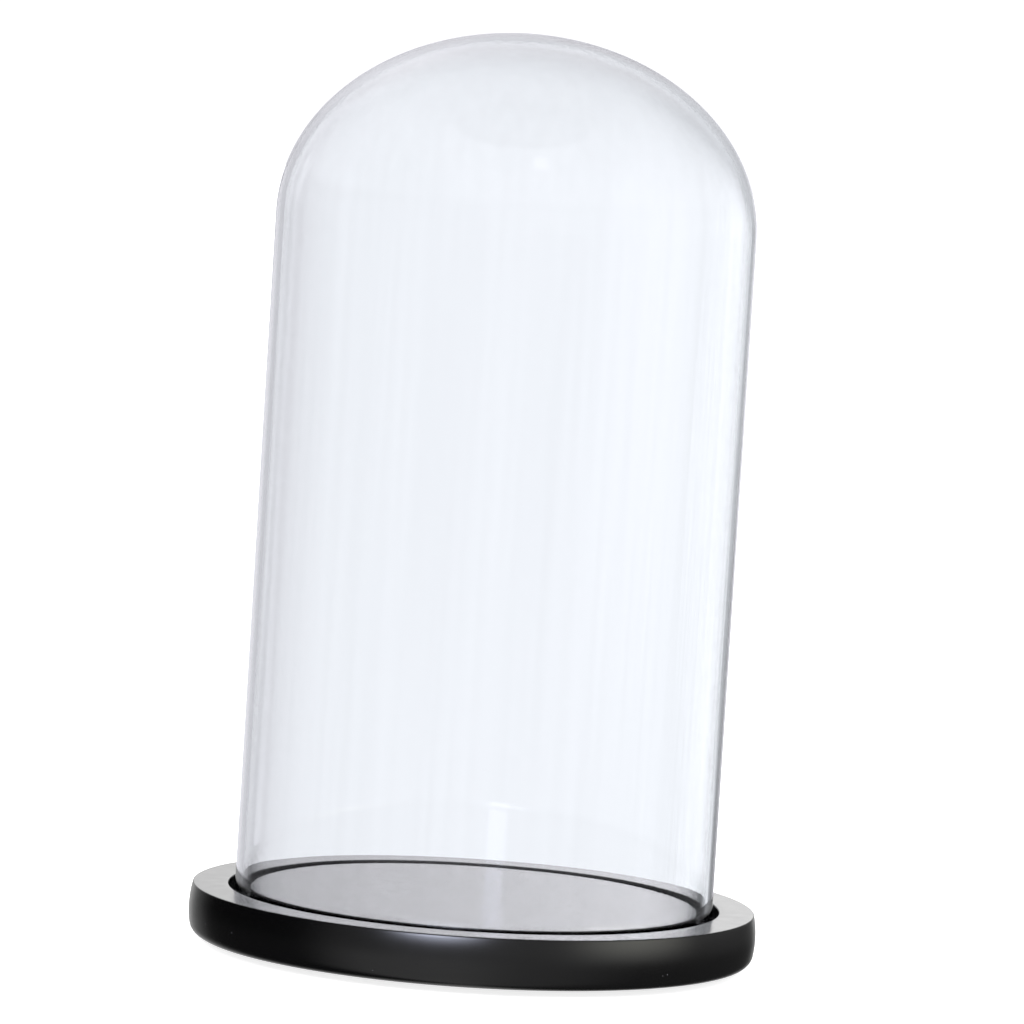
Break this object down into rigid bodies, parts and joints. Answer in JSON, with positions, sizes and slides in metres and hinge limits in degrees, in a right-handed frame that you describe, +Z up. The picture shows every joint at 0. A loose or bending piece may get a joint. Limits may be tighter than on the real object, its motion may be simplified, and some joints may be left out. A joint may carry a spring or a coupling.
{
  "type": "bell jar dome",
  "caption": "Clear glass bell jar with a rounded crown, standing in a ring groove in a round black lacquered board on felt pads; the dome lifts straight off.",
  "frame": {"origin": "on the dome's axis, in the plane that the felt pads stand on", "axes": "+Z up along the axis of the dome and board; +X and +Y lie in the standing plane, midway between pads"},
  "size_m": [0.178, 0.178, 0.2886],
  "materials": {
    "clear_glass": "clear blown glass, fire polished, with faint vertical drawing streaks",
    "black_lacquer": "smooth satin black lacquer over a turned board",
    "black_felt": "matted black wool felt"
  },
  "bodies": {
    "base": {"base_board": "black_lacquer", "felt_pad_1": "black_felt", "felt_pad_2": "black_felt", "felt_pad_3": "black_felt", "felt_pad_4": "black_felt"},
    "dome": {"glass_dome": "clear_glass"}
  },
  "joints": [
    {"name": "dome_lift", "type": "slide", "parent": "base", "child": "dome", "axis": [0, 0, 1], "range_m": [0, 0.28]}
  ]
}
